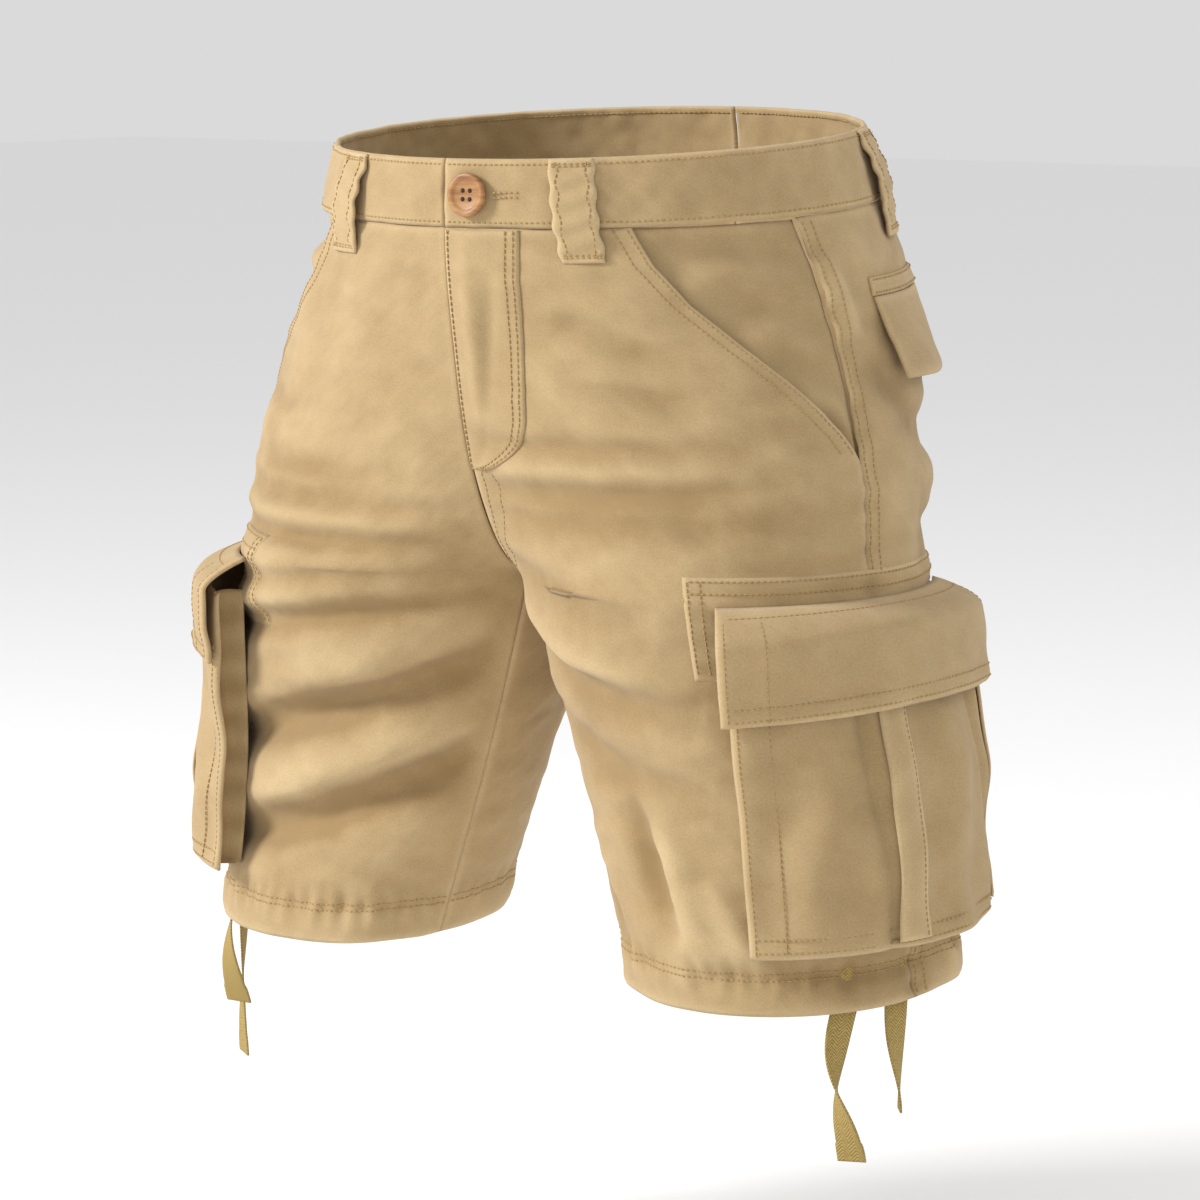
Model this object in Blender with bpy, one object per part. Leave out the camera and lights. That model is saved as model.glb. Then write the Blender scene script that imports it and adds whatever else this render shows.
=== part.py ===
"""Cargo shorts, hollow and worn-looking, built from the pieces a maker cuts and sews.

Metres, +Z up. The origin is the centre of the waistband's top edge. The front faces -Y and
the wearer's left is +X. Every piece lies on one form: a waist and hip ellipse that turns
into two leg ellipses at the crotch. A place on the form is (side, drop, turn): drop is the
depth below the waist, turn runs from 0 at the centre front to 1 at the centre back.
"""
from collections import namedtuple
from math import cos, pi, radians, sin, sqrt

import bmesh
import bpy
from mathutils import Matrix, Vector

# driving sizes
BAND_DEPTH = 0.040
CROTCH_DROP = 0.250
HEM_DROP = 0.473
SIDE_SEAM = 0.412
INSEAM_ANGLE = radians(22)
WAIST_DIP = 0.010
HEM_TILT = 0.113
CLOTH = 0.0013
PANEL_ROWS = 30
SEAM_GAP = 0.0003
TURN_GAP = 0.0005
CENTRE_GAP = 0.0002
RISE_POWER = 2.36
SIDE_BLEND_START = 0.08
INNER_ROUND = 0.0015
INNER_FADE = 0.010

HipRow = namedtuple("HipRow", "drop half_width front back")
LegRow = namedtuple("LegRow", "drop centre_x centre_y half_width half_depth toe_out")
HIP = [
    HipRow(0.000, 0.163, 0.139, 0.137),
    HipRow(0.040, 0.176, 0.141, 0.141),
    HipRow(0.068, 0.190, 0.141, 0.143),
    HipRow(0.115, 0.205, 0.139, 0.147),
    HipRow(0.185, 0.217, 0.139, 0.149),
    HipRow(0.260, 0.229, 0.137, 0.142),
]
LEG = [
    LegRow(0.250, 0.1135, -0.0220, 0.1160, 0.120, 0),
    LegRow(0.362, 0.1400, -0.0275, 0.1085, 0.090, 5),
    LegRow(0.473, 0.1615, -0.0320, 0.0965, 0.084, 15),
]

# slash pocket: how far the opening lies from the side seam, at each drop
SlashRow = namedtuple("SlashRow", "drop from_side")
SLASH = [
    SlashRow(0.040, 0.096), SlashRow(0.062, 0.092), SlashRow(0.085, 0.078), SlashRow(0.110, 0.055),
    SlashRow(0.135, 0.030), SlashRow(0.160, 0.009), SlashRow(0.175, 0.0),
]
FACING_BACK = 0.0026
FACING_UNDER = 0.012
FACING_DROP = 0.172

FLY_WIDTH = 0.047
FLY_END = 0.183
FLY_ROUND = 0.040
LIFT_ON_PANEL = 0.0021
OVERLAY = 0.0012

PATCH_HALF_WIDTH = 0.112
PATCH_TOP = 0.236
PATCH_END = 0.292

POCKET_HALF_WIDTH = 0.0925
POCKET_TOP = 0.272
POCKET_END = 0.440
POCKET_STAND = 0.0195
POCKET_CROWN = 0.004
FLAP_TOP = 0.252
FLAP_END = 0.311
FLAP_STAND = 0.0285
FLAP_FOLD = 0.018
GUSSET_INSET = 0.004
STRIP_WIDTH = 0.016
STRIP_OFFSETS = (-0.021, 0.063)

BACK_POCKET_NEAR = 0.035
BACK_POCKET_FAR = 0.165
WELT_TOP = 0.078
WELT_END = 0.088
BACK_FLAP_END = 0.135
BACK_FLAP_STAND = 0.013

LOOP_WIDTH = 0.026
LOOP_END = 0.060
LOOP_ANGLES = (("front", 28), ("side", 110), ("back", 148))

BUTTON_RADIUS = 0.0125
BUTTON_THICK = 0.004
BUTTON_FROM_CENTRE = 0.018
BUTTON_DROP = 0.021

TAPE_WIDTH = 0.015
TAPE_THICK = 0.0012
TAPE_INSIDE = 0.028
TAPE_LIFT = -0.0034
TapeRow = namedtuple("TapeRow", "name side from_seam length lean twist")
TAPES = [
    TapeRow("tape_left_front", 1, -0.045, 0.087, 0.006, 150),
    TapeRow("tape_left_side", 1, -0.010, 0.064, 0.003, 60),
    TapeRow("tape_right_front", -1, -0.032, 0.066, -0.006, 70),
    TapeRow("tape_right_side", -1, -0.010, 0.104, 0.006, 40),
]

TWILL = (0.50, 0.36, 0.19)
TWILL_DARK = (0.46, 0.33, 0.17)
TAPE_YELLOW = (0.38, 0.28, 0.11)
WOOD = (0.44, 0.25, 0.11)


def clear_scene():
    """Remove every object of the open scene."""
    for item in list(bpy.data.objects):
        bpy.data.objects.remove(item, do_unlink=True)


def material(name, colour, roughness):
    """A plain Principled material with one colour."""
    made = bpy.data.materials.new(name)
    made.use_nodes = True
    shader = made.node_tree.nodes["Principled BSDF"]
    shader.inputs["Base Color"].default_value = (*colour, 1)
    shader.inputs["Roughness"].default_value = roughness
    shader.inputs["Metallic"].default_value = 0
    return made


def read_row(rows, column, drop):
    """Read one column of a table at a drop, on a smooth curve through its rows."""
    drop = min(max(drop, rows[0].drop), rows[-1].drop)
    index = 0
    while index < len(rows) - 2 and drop > rows[index + 1].drop:
        index += 1

    def slope(at):
        before, after = rows[max(at - 1, 0)], rows[min(at + 1, len(rows) - 1)]
        return (getattr(after, column) - getattr(before, column)) / (after.drop - before.drop)

    low, high = rows[index], rows[index + 1]
    span = high.drop - low.drop
    u = (drop - low.drop) / span
    return ((2 * u**3 - 3 * u**2 + 1) * getattr(low, column) + (u**3 - 2 * u**2 + u) * slope(index) * span
            + (3 * u**2 - 2 * u**3) * getattr(high, column) + (u**3 - u**2) * slope(index + 1) * span)


def form(side, drop, turn):
    """The outer face of the cloth at a place on the form."""
    width = read_row(HIP, "half_width", drop)
    depth = read_row(HIP, "front" if turn < 0.5 else "back", drop)
    level = max(drop, CROTCH_DROP)
    leg_x, leg_y, leg_w, leg_d, toe = [read_row(LEG, name, level) for name in LegRow._fields[1:]]
    angle = INSEAM_ANGLE + 2 * pi * turn - radians(toe)
    along, across = -leg_w * cos(angle), -leg_d * sin(angle)
    down_leg = (level - CROTCH_DROP) / (HEM_DROP - CROTCH_DROP)
    inner = LEG[0].centre_x - LEG[0].half_width * cos(INSEAM_ANGLE)
    x = leg_x + along * cos(radians(toe)) - across * sin(radians(toe)) - inner * (1 - down_leg)
    y = leg_y + along * sin(radians(toe)) + across * cos(radians(toe))
    down_rise = min(1, max(0, drop) / CROTCH_DROP)
    centre_blend = 1 - sqrt(max(0, 1 - down_rise**RISE_POWER))
    step = min(max((drop - SIDE_BLEND_START) / (CROTCH_DROP - SIDE_BLEND_START), 0), 1)
    side_blend = step * step * (3 - 2 * step)
    blend = centre_blend + (side_blend - centre_blend) * sin(pi * turn)**2
    x = (1 - blend) * width * sin(pi * turn) + blend * x
    y = -(1 - blend) * depth * cos(pi * turn) + blend * y
    rounding = INNER_ROUND * blend
    fade = 2.718 ** (-(min(turn, 1 - turn) / INNER_FADE)**2)
    x = (x + sqrt(x * x + 4 * rounding * rounding)) / 2 - rounding * fade * (1 - down_leg) + CENTRE_GAP
    z = -drop - WAIST_DIP * cos(pi * turn) * (1 - down_rise) + HEM_TILT * (y - leg_y) * down_leg
    return Vector((side * x, y, z))


def on_form(side, drop, turn, lift=0.0):
    """A place on the form, moved out along its normal."""
    step = 0.002
    down = form(side, drop + step, turn) - form(side, drop - step, turn)
    round_ = form(side, drop, min(turn + step, 0.9999)) - form(side, drop, max(turn - step, 0.0001))
    normal = down.cross(round_).normalized() * side
    return form(side, drop, turn) + normal * lift, normal


def walk(drop, start, distance):
    """The turn that lies a distance along the section from a starting turn."""
    steps = 24
    turn = start
    for _ in range(steps):
        speed = (form(1, drop, min(turn + 0.002, 1)) - form(1, drop, max(turn - 0.002, 0))).length / 0.004
        turn += distance / steps / max(speed, 0.05)
    return turn


def from_side(side_distance):
    """A turn function: a fixed distance from the side seam, forwards negative."""
    return lambda drop: walk(drop, SIDE_SEAM, side_distance)


def slash_turn(drop):
    """The turn of the slash pocket's opening, or of the side seam below it."""
    if drop >= SLASH[-1].drop:
        return SIDE_SEAM - TURN_GAP
    return min(walk(drop, SIDE_SEAM, -read_row(SLASH, "from_side", drop)), SIDE_SEAM - TURN_GAP)


def finish(name, mesh_edit, finish_material, thickness, offset=-1.0):
    """Turn a bmesh sheet into a named solid of cloth."""
    mesh = bpy.data.meshes.new(name)
    mesh_edit.to_mesh(mesh)
    mesh_edit.free()
    made = bpy.data.objects.new(name, mesh)
    bpy.context.collection.objects.link(made)
    mesh.materials.append(finish_material)
    if thickness:
        wall = made.modifiers.new("cloth", "SOLIDIFY")
        wall.thickness = thickness
        wall.offset = offset
    mesh.shade_smooth()
    mesh.set_sharp_from_angle(angle=radians(40))
    return made


def sheet(name, place, across, down, finish_material, thickness=CLOTH, offset=-1.0):
    """A grid of cloth mapped by place(u, v), which gives a point and its outward normal."""
    grid = bmesh.new()
    bmesh.ops.create_grid(grid, x_segments=across, y_segments=down, size=0.5)
    wanted = {}
    for vert in grid.verts:
        point, normal = place(vert.co.x + 0.5, vert.co.y + 0.5)
        wanted[vert] = normal
        vert.co = point
    grid.normal_update()
    agree = sum(face.normal.dot(wanted[face.verts[0]]) for face in grid.faces)
    if agree < 0:
        bmesh.ops.reverse_faces(grid, faces=grid.faces[:])
    return finish(name, grid, finish_material, thickness, offset)


def panel(name, side, turns, drops, size, finish_material, lift=lambda u, v: 0.0, thickness=CLOTH):
    """A panel between two turn functions and two drops, moved out by lift(u, v)."""
    start, end = turns

    def place(u, v):
        drop = drops[0] + (drops[1] - drops[0]) * v
        turn = start(drop) + (end(drop) - start(drop)) * u
        return on_form(side, drop, turn, lift(u, v))

    return sheet(name, place, size[0], size[1], finish_material, thickness)


def fixed(turn):
    """A turn function that is the same at every drop."""
    return lambda drop: turn


def body_panels(side, tag, twill):
    """The front, the pocket facing behind its slash, and the back of one half."""
    top = BAND_DEPTH + SEAM_GAP
    panel(f"front_{tag}", side, (fixed(TURN_GAP), slash_turn), (top, HEM_DROP), (13, PANEL_ROWS), twill)
    panel(f"back_{tag}", side, (fixed(SIDE_SEAM + TURN_GAP), fixed(1 - TURN_GAP)), (top, HEM_DROP),
          (16, PANEL_ROWS), twill)

    def facing_start(drop):
        return slash_turn(drop) - (SIDE_SEAM - walk(drop, SIDE_SEAM, -FACING_UNDER))

    panel(f"facing_{tag}", side, (facing_start, fixed(SIDE_SEAM - TURN_GAP)), (top, FACING_DROP), (6, 10), twill,
          lift=lambda u, v: -FACING_BACK)


def waistband(side, tag, twill):
    """One half of the waistband, a folded strip a little proud of the body."""
    panel(f"waistband_{tag}", side, (fixed(TURN_GAP), fixed(1 - TURN_GAP)), (0, BAND_DEPTH), (24, 2), twill,
          lift=lambda u, v: 0.0008, thickness=0.0026)


def fly(twill):
    """The fly's stitched facing on the left front, with its round lower corner."""
    def end(drop):
        into = max(0.0, (drop - (FLY_END - FLY_ROUND * 0.85)) / FLY_ROUND)
        return walk(drop, 0.001, FLY_WIDTH * sqrt(max(0.02, 1 - into * into)))

    panel("fly_flap", 1, (fixed(0.0012), end), (BAND_DEPTH + 0.001, FLY_END), (4, 12), twill,
          lift=lambda u, v: LIFT_ON_PANEL, thickness=OVERLAY)


def side_patch(side, tag, twill):
    """The stitched patch behind the cargo pocket, across the side seam."""
    panel(f"side_patch_{tag}", side, (from_side(-PATCH_HALF_WIDTH), from_side(PATCH_HALF_WIDTH)),
          (PATCH_TOP, PATCH_END), (12, 3), twill, lift=lambda u, v: LIFT_ON_PANEL, thickness=OVERLAY)


def pocket_stand(u, v):
    """How far the cargo pocket's face stands off the leg."""
    return POCKET_STAND + POCKET_CROWN * sin(pi * u) * (0.4 + 0.6 * v)


def cargo_pocket(side, tag, twill):
    """A bellows pocket: face, gusset, flap, and two stitched pleat strips."""
    panel(f"cargo_face_{tag}", side, (from_side(-POCKET_HALF_WIDTH), from_side(POCKET_HALF_WIDTH)),
          (POCKET_TOP, POCKET_END), (12, 8), twill, lift=pocket_stand, thickness=0.0014)
    half = POCKET_HALF_WIDTH - GUSSET_INSET
    height = POCKET_END - GUSSET_INSET - POCKET_TOP
    length = 2 * height + 2 * half

    def gusset(u, v):
        run = u * length
        if run < height:
            across, drop = -half, POCKET_TOP + run
        elif run < height + 2 * half:
            across, drop = run - height - half, POCKET_TOP + height
        else:
            across, drop = half, POCKET_TOP + length - run
        low = LIFT_ON_PANEL + SEAM_GAP + 0.0002
        top = pocket_stand((across + POCKET_HALF_WIDTH) / (2 * POCKET_HALF_WIDTH), 0) - 0.0022
        point, normal = on_form(side, drop, walk(drop, SIDE_SEAM, across), low + (top - low) * v)
        centre, _ = on_form(side, POCKET_TOP + height * 0.4, SIDE_SEAM, POCKET_STAND / 2)
        return point, (point - centre).normalized()

    sheet(f"cargo_gusset_{tag}", gusset, 34, 2, twill, 0.0012)

    def flap_lift(u, v):
        rise = min(1, v / FLAP_FOLD * (FLAP_END - FLAP_TOP))
        return 0.0032 + (FLAP_STAND - 0.0032) * sin(rise * pi / 2) + 0.001 * sin(pi * u)

    panel(f"cargo_flap_{tag}", side, (from_side(-POCKET_HALF_WIDTH - 0.003), from_side(POCKET_HALF_WIDTH + 0.003)),
          (FLAP_TOP, FLAP_END), (12, 8), twill, lift=flap_lift, thickness=0.0016)
    for number, offset in enumerate(STRIP_OFFSETS, 1):
        start = (offset + POCKET_HALF_WIDTH) / (2 * POCKET_HALF_WIDTH)
        wide = STRIP_WIDTH / (2 * POCKET_HALF_WIDTH)
        low = (0.030, 0.97)
        panel(f"pleat_strip_{tag}_{number}", side, (from_side(offset), from_side(offset + STRIP_WIDTH)),
              (POCKET_TOP + 0.008, POCKET_END - 0.004), (1, 7), twill,
              lift=lambda u, v, start=start, wide=wide, low=low:
              pocket_stand(start + wide * u, low[0] + (low[1] - low[0]) * v) + 0.0019, thickness=0.0012)


def back_pocket(side, tag, twill):
    """The back pocket's welt and its flap, which stands off below."""
    turns = (from_side(BACK_POCKET_NEAR), from_side(BACK_POCKET_FAR))
    panel(f"back_welt_{tag}", side, turns, (WELT_TOP, WELT_END), (6, 1), twill, lift=lambda u, v: LIFT_ON_PANEL, thickness=OVERLAY)
    panel(f"back_flap_{tag}", side, turns, (WELT_END + SEAM_GAP, BACK_FLAP_END), (6, 4), twill,
          lift=lambda u, v: LIFT_ON_PANEL + (BACK_FLAP_STAND - LIFT_ON_PANEL) * v**1.4, thickness=OVERLAY)


def belt_loops(side, tag, twill):
    """Three wide belt loops on one half of the waistband."""
    for place, angle in LOOP_ANGLES:
        middle = angle / 180
        panel(f"loop_{place}_{tag}", side,
              (lambda drop, middle=middle: walk(drop, middle, -LOOP_WIDTH / 2),
               lambda drop, middle=middle: walk(drop, middle, LOOP_WIDTH / 2)),
              (0.001, LOOP_END), (2, 8), twill,
              lift=lambda u, v: 0.0034 + 0.0028 * sin(pi * v) - 0.0006 * v, thickness=0.0018)


def button(wood):
    """A turned wooden button with a raised rim, flat against the waistband."""
    point, normal = on_form(1, BUTTON_DROP, walk(BUTTON_DROP, 0, BUTTON_FROM_CENTRE), 0.0014)
    disc = bmesh.new()
    profile = [(0.0, 0.0), (0.9, 0.0), (1.0, 0.3), (1.0, 0.8), (0.92, 1.0), (0.78, 0.9), (0.7, 0.62), (0.0, 0.62)]
    verts = [disc.verts.new((r * BUTTON_RADIUS, 0, h * BUTTON_THICK)) for r, h in profile]
    edges = [disc.edges.new(pair) for pair in zip(verts, verts[1:])]
    bmesh.ops.spin(disc, geom=verts + edges, cent=(0, 0, 0), axis=(0, 0, 1), angle=2 * pi, steps=28, use_merge=True)
    bmesh.ops.remove_doubles(disc, verts=disc.verts[:], dist=0.00001)
    bmesh.ops.recalc_face_normals(disc, faces=disc.faces[:])
    made = finish("button", disc, wood, 0)
    made.matrix_world = Matrix.Translation(point) @ normal.to_track_quat("Z", "Y").to_matrix().to_4x4()


def tape_route(row, fall):
    """The middle of a hem tape at a fall below its start, with its width's direction."""
    turn = walk(HEM_DROP, SIDE_SEAM, row.from_seam)
    hem, normal = on_form(row.side, HEM_DROP, turn, TAPE_LIFT)
    along = normal.cross(Vector((0, 0, 1))).normalized()
    free = max(0, fall - TAPE_INSIDE) / row.length
    up_wall = (form(row.side, HEM_DROP - TAPE_INSIDE, turn) - form(row.side, HEM_DROP, turn)).normalized()
    inside = max(0, TAPE_INSIDE - fall)
    point = hem + up_wall * inside + Vector((0, 0, -max(0, fall - TAPE_INSIDE)))
    point += along * row.lean * sin(free * pi * 1.3) + normal * 0.004 * sin(free * pi)
    turned = radians(row.twist) * free * free * (3 - 2 * free)
    return point, along * cos(turned) + normal * sin(turned)


def tape(row, yellow):
    """One hanging drawcord tape, a flat strip that turns as it falls."""
    whole = TAPE_INSIDE + row.length

    def place(u, v):
        point, wide = tape_route(row, v * whole)
        return point + wide * (u - 0.5) * TAPE_WIDTH, wide.cross(Vector((0, 0, 1)))

    sheet(row.name, place, 1, 16, yellow, TAPE_THICK, 0.0)


def main():
    """Build every piece of the shorts."""
    clear_scene()
    twill = material("khaki_twill", TWILL, 0.9)
    twill_dark = material("khaki_twill_pocket", TWILL_DARK, 0.9)
    yellow = material("twill_tape", TAPE_YELLOW, 0.9)
    wood = material("button_wood", WOOD, 0.5)
    for side, tag in ((1, "left"), (-1, "right")):
        body_panels(side, tag, twill)
        waistband(side, tag, twill)
        side_patch(side, tag, twill)
        cargo_pocket(side, tag, twill_dark)
        back_pocket(side, tag, twill)
        belt_loops(side, tag, twill)
    fly(twill)
    button(wood)
    for row in TAPES:
        tape(row, yellow)


main()
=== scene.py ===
"""Cargo shorts of washed cotton twill: the finished cloth, stitching, wooden button and hem tapes."""
import logging
from collections.abc import Callable
from dataclasses import dataclass, field
from enum import Enum
from math import cos, pi, radians, sin

import bmesh
import bpy
import numpy as np
from mathutils import Matrix, Vector, noise


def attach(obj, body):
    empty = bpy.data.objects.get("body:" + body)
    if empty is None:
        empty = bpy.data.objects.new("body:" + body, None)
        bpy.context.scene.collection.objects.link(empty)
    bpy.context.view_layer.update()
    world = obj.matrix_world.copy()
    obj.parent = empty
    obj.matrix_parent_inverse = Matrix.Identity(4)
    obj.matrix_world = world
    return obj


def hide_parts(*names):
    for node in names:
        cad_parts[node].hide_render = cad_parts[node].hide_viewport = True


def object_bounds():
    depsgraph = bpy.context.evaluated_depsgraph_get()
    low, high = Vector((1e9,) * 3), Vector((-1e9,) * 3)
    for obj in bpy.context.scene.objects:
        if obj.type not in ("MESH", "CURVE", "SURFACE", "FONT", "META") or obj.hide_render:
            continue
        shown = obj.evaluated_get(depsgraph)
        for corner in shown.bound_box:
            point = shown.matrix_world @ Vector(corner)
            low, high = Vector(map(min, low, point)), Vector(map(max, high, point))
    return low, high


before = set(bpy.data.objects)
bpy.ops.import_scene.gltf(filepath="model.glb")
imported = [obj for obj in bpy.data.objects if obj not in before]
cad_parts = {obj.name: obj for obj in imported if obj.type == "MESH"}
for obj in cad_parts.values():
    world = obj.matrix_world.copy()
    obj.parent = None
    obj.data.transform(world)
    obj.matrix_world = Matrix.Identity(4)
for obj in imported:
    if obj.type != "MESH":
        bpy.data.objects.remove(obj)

LOG = logging.getLogger("shorts")
CAD_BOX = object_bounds()
Array = np.ndarray
Places = tuple[Array, Array, Array]
Placed = tuple[Array, Array, Array, Array]
Edge = Callable[[Array], Array]
Lift = Callable[[Array, Array], Array]
Settings = dict[str | int, object]
Links = dict[str | int, bpy.types.NodeSocket]

BAND_DEPTH = 0.040
CROTCH_DROP = 0.250
HEM_DROP = 0.473
SIDE_SEAM = 0.412
INSEAM_ANGLE = radians(22)
EDGE = 0.00008
HEM_SEWN = 0.021
LEAST_FLAT = 0.0105
SEAM_PUCKER = 0.00165


class Side(Enum):
    """Which half of the garment, as the wearer has it."""
    LEFT = 1
    RIGHT = -1

    @property
    def tag(self) -> str:
        """The half's name in a node."""
        return self.name.lower()


@dataclass(frozen=True)
class HipRow:
    """One level of the waist and hip ellipse, in metres."""
    drop: float
    half_width: float
    front: float
    back: float


@dataclass(frozen=True)
class LegRow:
    """One level of the leg ellipse, in metres, with its toe-out in degrees."""
    drop: float
    centre_x: float
    centre_y: float
    half_width: float
    half_depth: float
    toe_out: float


HIP = [HipRow(0.000, 0.163, 0.139, 0.137), HipRow(0.040, 0.176, 0.141, 0.141),
       HipRow(0.068, 0.190, 0.141, 0.143), HipRow(0.115, 0.205, 0.139, 0.147),
       HipRow(0.185, 0.217, 0.139, 0.149), HipRow(0.260, 0.229, 0.137, 0.142)]
LEG = [LegRow(0.250, 0.1135, -0.0220, 0.1160, 0.120, 0), LegRow(0.362, 0.1400, -0.0275, 0.1085, 0.090, 5),
       LegRow(0.473, 0.1615, -0.0320, 0.0965, 0.084, 15)]


def column(rows: list, name: str, drop: Array) -> Array:
    """Read a column of a table at many drops, on a smooth curve through its rows."""
    at = np.array([row.drop for row in rows])
    value = np.array([getattr(row, name) for row in rows])
    slope = np.gradient(value, at)
    slope[1:-1] = (value[2:] - value[:-2]) / (at[2:] - at[:-2])
    drop = np.clip(drop, at[0], at[-1])
    low = np.clip(np.searchsorted(at, drop) - 1, 0, len(rows) - 2)
    span = at[low + 1] - at[low]
    u = (drop - at[low]) / span
    return ((2 * u**3 - 3 * u**2 + 1) * value[low] + (u**3 - 2 * u**2 + u) * slope[low] * span
            + (3 * u**2 - 2 * u**3) * value[low + 1] + (u**3 - u**2) * slope[low + 1] * span)


def smooth(x: Array, low: float, high: float) -> Array:
    """A smooth step from 0 at low to 1 at high."""
    u = np.clip((x - low) / (high - low), 0, 1)
    return u * u * (3 - 2 * u)


def form(side: int, drop: Array, turn: Array) -> Array:
    """The plain outer face of the cloth, as the CAD has it.

    Args:
        side: 1 for the wearer's left, -1 for the right.
        drop: depths below the waist.
        turn: 0 at the centre front to 1 at the centre back.

    Returns:
        Points, one row each.
    """
    width = column(HIP, "half_width", drop)
    depth = np.where(turn < 0.5, column(HIP, "front", drop), column(HIP, "back", drop))
    level = np.maximum(drop, CROTCH_DROP)
    leg_x, leg_y, leg_w, leg_d, toe = [column(LEG, name, level) for name in
                                       ("centre_x", "centre_y", "half_width", "half_depth", "toe_out")]
    toe = np.radians(toe)
    angle = INSEAM_ANGLE + 2 * pi * turn - toe
    along, across = -leg_w * np.cos(angle), -leg_d * np.sin(angle)
    down_leg = (level - CROTCH_DROP) / (HEM_DROP - CROTCH_DROP)
    inner = LEG[0].centre_x - LEG[0].half_width * cos(INSEAM_ANGLE)
    x = leg_x + along * np.cos(toe) - across * np.sin(toe) - inner * (1 - down_leg)
    y = leg_y + along * np.sin(toe) + across * np.cos(toe)
    rise = np.clip(drop / CROTCH_DROP, 0, 1)
    centre_blend = 1 - np.sqrt(1 - rise**2.36)
    side_blend = smooth(drop, 0.08, CROTCH_DROP)
    blend = centre_blend + (side_blend - centre_blend) * np.sin(pi * turn)**2
    x = (1 - blend) * width * np.sin(pi * turn) + blend * x
    y = -(1 - blend) * depth * np.cos(pi * turn) + blend * y
    rounding = 0.0015 * blend
    fade = np.exp(-(np.minimum(turn, 1 - turn) / 0.010)**2)
    x = (x + np.sqrt(x * x + 4 * rounding**2)) / 2 - rounding * fade * (1 - down_leg) + 0.0002
    z = -drop - 0.010 * np.cos(pi * turn) * (1 - rise) + 0.113 * (y - leg_y) * down_leg
    return np.stack([side * x, y, z], -1)


ROW_COUNT = 120
TURN_COUNT = 241
ROWS = np.linspace(0, HEM_DROP, ROW_COUNT)
TURNS = np.linspace(0, 1, TURN_COUNT)
POINTS = form(1, np.repeat(ROWS, TURN_COUNT), np.tile(TURNS, ROW_COUNT)).reshape(ROW_COUNT, TURN_COUNT, 3)
STEPS = np.linalg.norm(np.diff(POINTS, axis=1), axis=2)
RUNS = np.concatenate([np.zeros((ROW_COUNT, 1)), np.cumsum(STEPS, axis=1)], 1)
SEAM_RUNS = np.array([np.interp(SIDE_SEAM, TURNS, row) for row in RUNS])


def row_at(drop: Array) -> tuple[Array, Array]:
    """The row of the run table above each drop, and the share of the way to the next one."""
    level = np.clip(drop / HEM_DROP * (ROW_COUNT - 1), 0, ROW_COUNT - 1)
    low = np.minimum(level.astype(int), ROW_COUNT - 2)
    return low, level - low


def turn_at(drop: Array, run: Array) -> Array:
    """The turn at a distance behind the side seam, forwards negative."""
    out = np.empty_like(run, dtype=float)
    low, part = row_at(drop)
    for row in np.unique(low):
        pick = low == row
        first = np.interp(run[pick] + SEAM_RUNS[row], RUNS[row], TURNS)
        second = np.interp(run[pick] + SEAM_RUNS[row + 1], RUNS[row + 1], TURNS)
        out[pick] = first * (1 - part[pick]) + second * part[pick]
    return out


def run_at(drop: Array, turn: Array) -> Array:
    """The distance behind the side seam at a turn, forwards negative."""
    low, part = row_at(drop)
    place = np.clip(turn, 0, 1) * (TURN_COUNT - 1)
    left = np.minimum(place.astype(int), TURN_COUNT - 2)
    across = place - left
    value = 0
    for row, share in ((low, 1 - part), (low + 1, part)):
        length = RUNS[row, left] * (1 - across) + RUNS[row, left + 1] * across - SEAM_RUNS[row]
        value = value + share * length
    return value


FOLD_STRENGTH = 1.55


@dataclass(frozen=True)
class Crease:
    """One soft trough or ridge on the form: from one place to another, in metres (depth out is positive)."""
    from_drop: float
    from_run: float
    to_drop: float
    to_run: float
    width: float
    depth: float
    bow: float = 0.0

    def lift(self, drop: Array, run: Array) -> Array:
        """How far the crease moves the cloth out at each place."""
        ax, ay = self.from_run, self.from_drop
        dx, dy = self.to_run - ax, self.to_drop - ay
        length = max((dx * dx + dy * dy)**0.5, 1e-6)
        along = ((run - ax) * dx + (drop - ay) * dy) / length**2
        off = ((run - ax) * dy - (drop - ay) * dx) / length - self.bow * 4 * along * (1 - along)
        taper = np.sin(pi * np.clip(along, 0, 1))**0.7
        shape = np.where(off > 0, np.exp(-(off / self.width)**2), np.exp(-(off / (self.width * 1.7))**2))
        return FOLD_STRENGTH * self.depth * taper * shape


# on the right leg the folds run from the crotch out to the side seam, and on the left most of them
# lie above and in front of the pocket
FOLDS_RIGHT = [
    Crease(0.208, -0.03, 0.214, -0.24, 0.006, -0.0035), Crease(0.188, -0.02, 0.196, -0.22, 0.006, -0.0022),
    Crease(0.232, -0.02, 0.236, -0.27, 0.007, -0.0045), Crease(0.222, -0.03, 0.226, -0.26, 0.006, 0.0028),
    Crease(0.268, -0.03, 0.246, -0.29, 0.008, -0.0045), Crease(0.257, -0.04, 0.240, -0.27, 0.007, 0.0030),
    Crease(0.300, -0.03, 0.258, -0.30, 0.009, -0.0060), Crease(0.285, -0.03, 0.252, -0.29, 0.008, 0.0045),
    Crease(0.370, -0.02, 0.296, -0.29, 0.011, -0.0085, 0.006),
    Crease(0.352, -0.02, 0.280, -0.29, 0.009, 0.0060, 0.006),
    Crease(0.428, -0.04, 0.350, -0.29, 0.011, -0.0080, 0.006),
    Crease(0.408, -0.05, 0.330, -0.28, 0.009, 0.0055, 0.006),
    Crease(0.335, -0.06, 0.330, -0.20, 0.012, -0.0040), Crease(0.060, -0.05, 0.105, -0.045, 0.006, -0.0030),
    Crease(0.075, -0.02, 0.120, -0.02, 0.007, 0.0030), Crease(0.150, -0.02, 0.158, -0.13, 0.006, -0.0020),
]
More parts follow.
